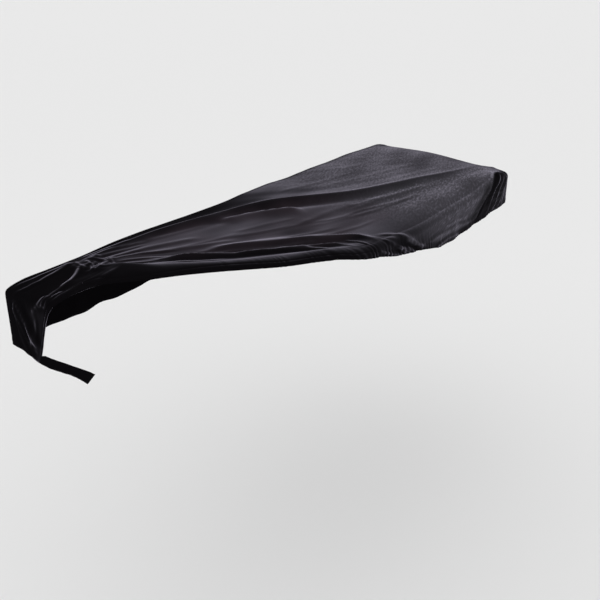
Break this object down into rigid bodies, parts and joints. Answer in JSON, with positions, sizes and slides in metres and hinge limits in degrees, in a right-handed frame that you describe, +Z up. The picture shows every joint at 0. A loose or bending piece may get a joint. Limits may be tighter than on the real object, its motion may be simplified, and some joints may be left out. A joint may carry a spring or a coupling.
{
  "type": "piano cover",
  "caption": "Stretch velvet dust cover for a digital piano, one hollow shell with an elastic hem, its front left corner pulled back over the keys in a soft roll.",
  "frame": {"origin": "on the top of the covered body, just under the cloth, midway along the body's length and 340 mm back from its front", "axes": "+X along the body's length towards its treble end, +Y from the player's side to the back, +Z up"},
  "size_m": [1.3523, 0.4323, 0.159],
  "materials": {
    "velvet": "black stretch velvet with a soft sheen"
  },
  "bodies": {
    "root": {"cover": "velvet"}
  },
  "joints": []
}
